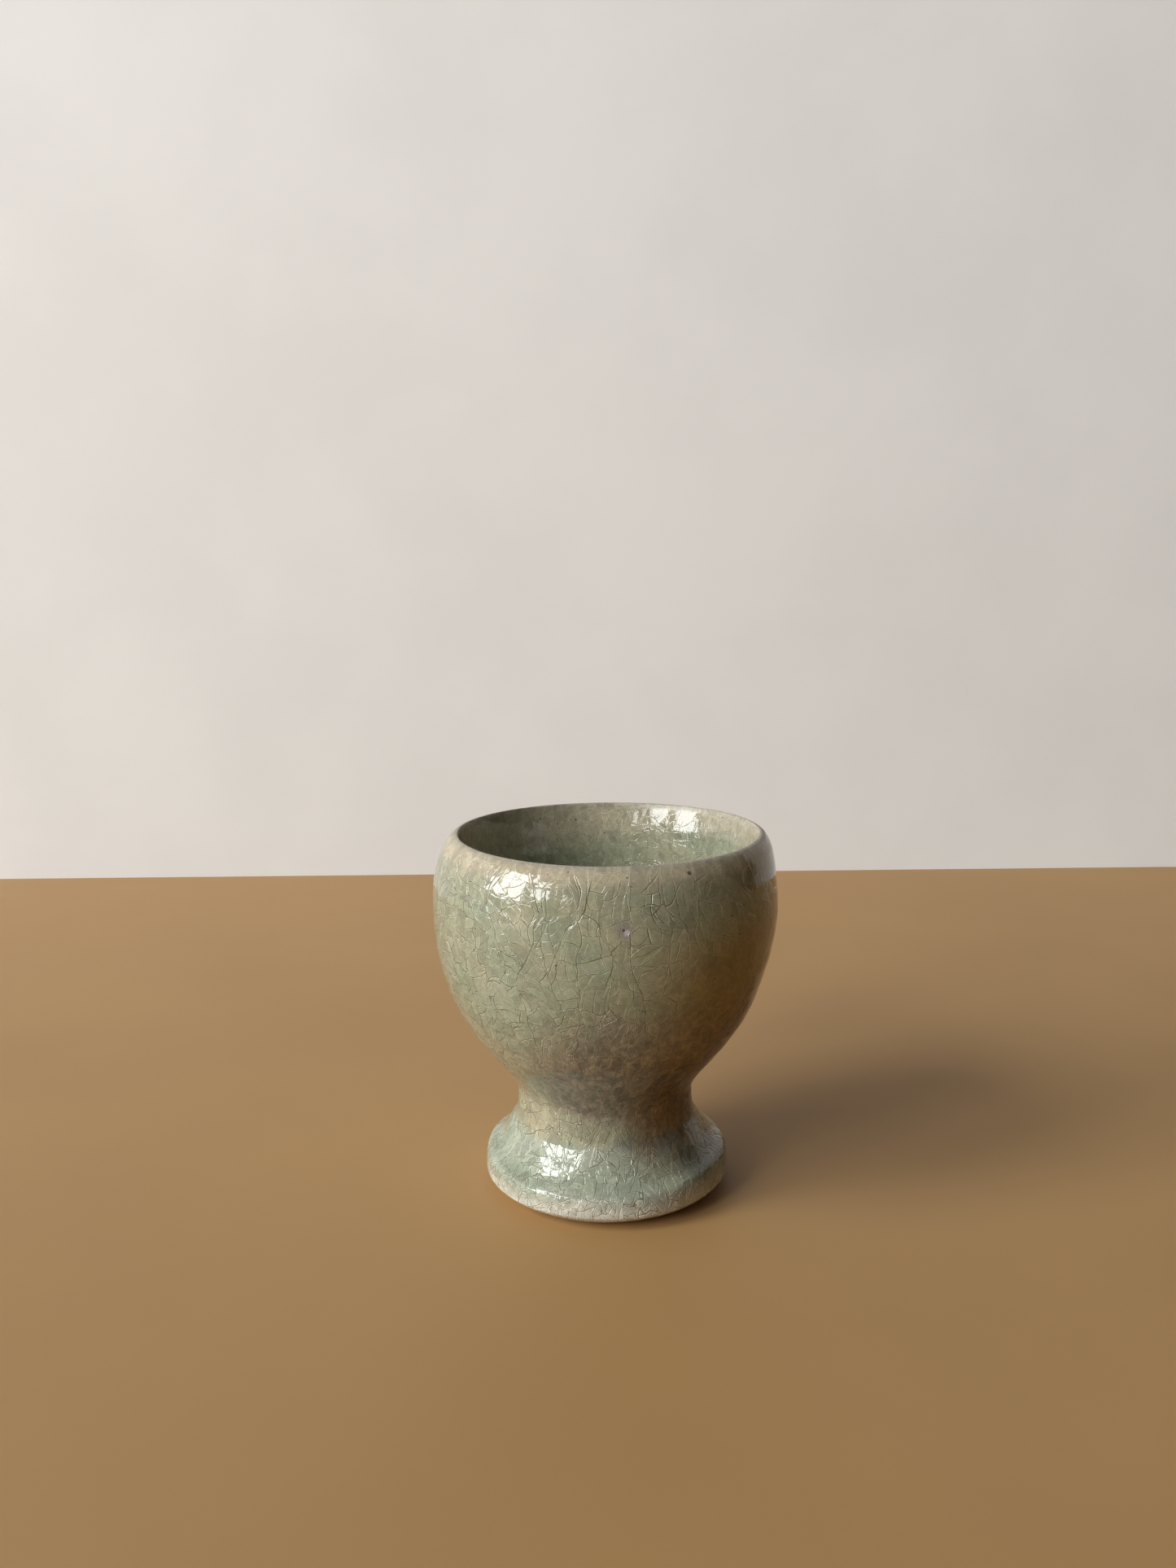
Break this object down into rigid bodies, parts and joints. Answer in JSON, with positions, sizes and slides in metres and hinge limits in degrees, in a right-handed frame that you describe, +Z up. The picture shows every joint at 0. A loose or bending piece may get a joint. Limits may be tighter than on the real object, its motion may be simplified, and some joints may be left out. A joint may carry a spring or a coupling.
{
  "type": "egg cup",
  "caption": "Small stemmed ceramic cup that holds a boiled egg: round bowl, narrow neck and disc foot, with a crackled pale green glaze.",
  "frame": {"origin": "middle of the foot, on the surface that the cup stands on", "axes": "+Z up along the cup's axis, +X to the right and +Y to the back as the cup is seen from the front"},
  "size_m": [0.0534, 0.0526, 0.0567],
  "materials": {
    "celadon_glaze": "glossy pale grey green crackle glaze over a buff stoneware body, thin and tan at the lip"
  },
  "bodies": {
    "root": {"egg_cup": "celadon_glaze"}
  },
  "joints": []
}
